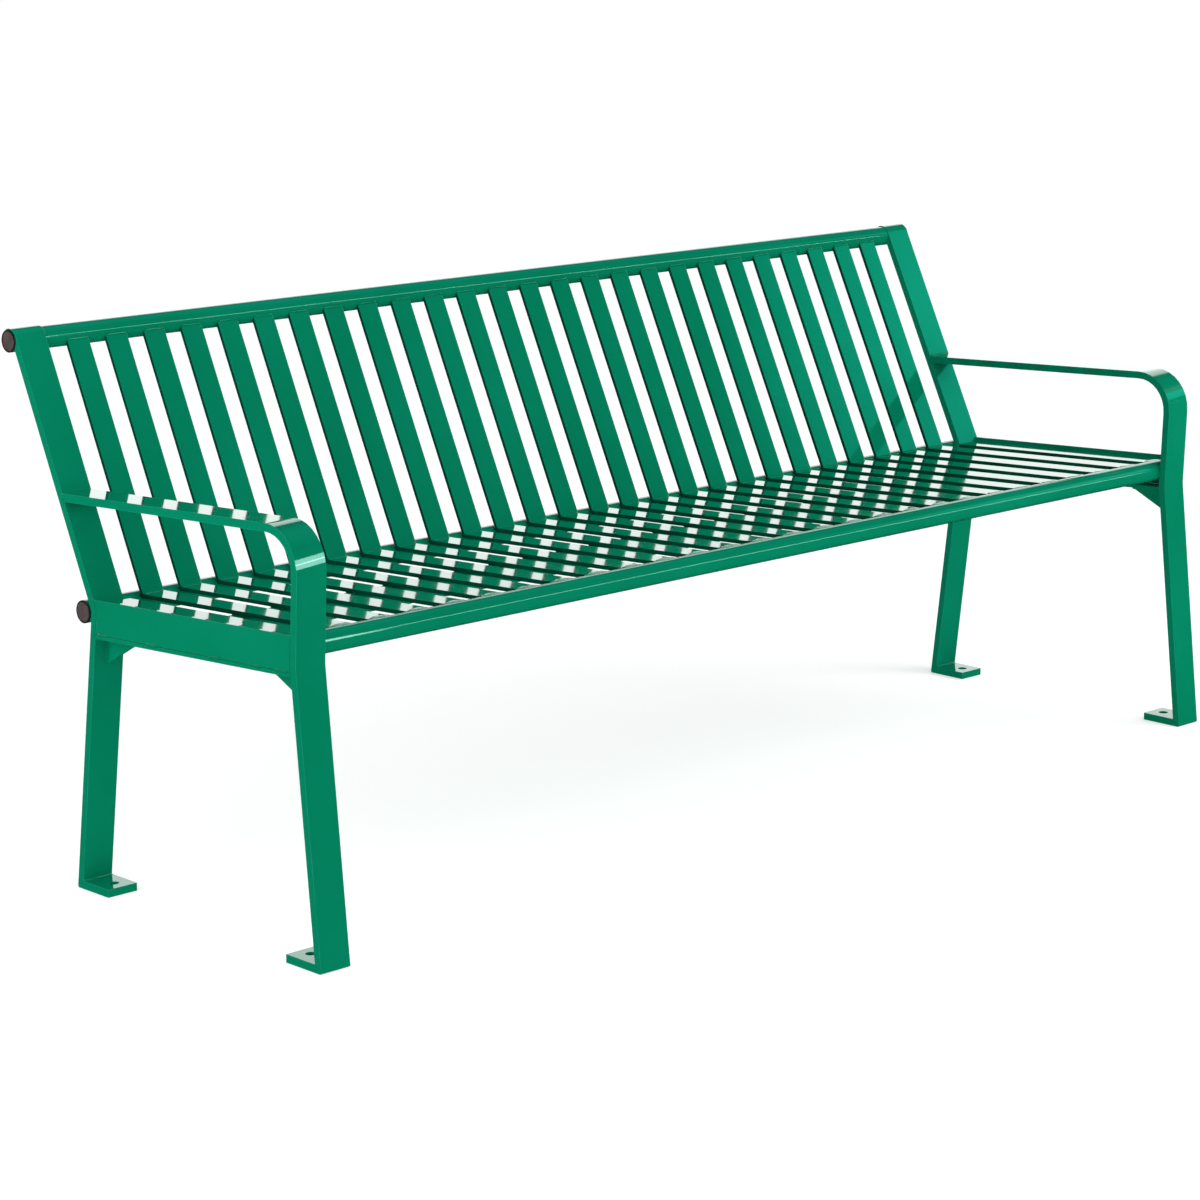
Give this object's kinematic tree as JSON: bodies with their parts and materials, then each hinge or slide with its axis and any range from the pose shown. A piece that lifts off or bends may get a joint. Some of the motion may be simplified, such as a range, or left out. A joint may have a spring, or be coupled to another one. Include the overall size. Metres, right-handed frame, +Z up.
{
  "type": "park bench",
  "caption": "Steel park bench with flat slatted seat and leaning back, bent flat-bar arms and legs, and bolt-down feet.",
  "frame": {"origin": "on the ground, at the centre of the bounding box seen from above", "axes": "+Z up, X along the bench, and the sitter faces -Y"},
  "size_m": [1.937, 0.7051, 0.8061],
  "materials": {
    "green_paint": "gloss",
    "cap_plastic": "satin"
  },
  "bodies": {
    "root": {"front_bar_left": "green_paint", "back_bar_left": "green_paint", "side_apron_left": "green_paint", "apron_strip_left": "green_paint", "front_gusset_left": "green_paint", "rear_gusset_left": "green_paint", "front_bar_right": "green_paint", "back_bar_right": "green_paint", "side_apron_right": "green_paint", "apron_strip_right": "green_paint", "front_gusset_right": "green_paint", "rear_gusset_right": "green_paint", "top_tube": "green_paint", "rear_seat_tube": "green_paint", "front_seat_rail": "green_paint", "back_slat_01": "green_paint", "back_slat_02": "green_paint", "back_slat_03": "green_paint", "back_slat_04": "green_paint", "back_slat_05": "green_paint", "back_slat_06": "green_paint", "back_slat_07": "green_paint", "back_slat_08": "green_paint", "back_slat_09": "green_paint", "back_slat_10": "green_paint", "back_slat_11": "green_paint", "back_slat_12": "green_paint", "back_slat_13": "green_paint", "back_slat_14": "green_paint", "back_slat_15": "green_paint", "back_slat_16": "green_paint", "back_slat_17": "green_paint", "back_slat_18": "green_paint", "back_slat_19": "green_paint", "back_slat_20": "green_paint", "back_slat_21": "green_paint", "back_slat_22": "green_paint", "back_slat_23": "green_paint", "back_slat_24": "green_paint", "back_slat_25": "green_paint", "back_slat_26": "green_paint", "seat_slat_01": "green_paint", "seat_slat_03": "green_paint", "seat_slat_05": "green_paint", "seat_slat_07": "green_paint", "seat_slat_09": "green_paint", "seat_slat_11": "green_paint", "seat_slat_13": "green_paint", "seat_slat_15": "green_paint", "seat_slat_17": "green_paint", "seat_slat_19": "green_paint", "seat_slat_21": "green_paint", "seat_slat_23": "green_paint", "seat_slat_25": "green_paint", "seat_slat_27": "green_paint", "middle_tube_with_welded_slats": "green_paint", "top_tube_cap_left": "cap_plastic", "rear_tube_cap_left": "cap_plastic", "top_tube_cap_right": "cap_plastic", "rear_tube_cap_right": "cap_plastic"}
  },
  "joints": []
}
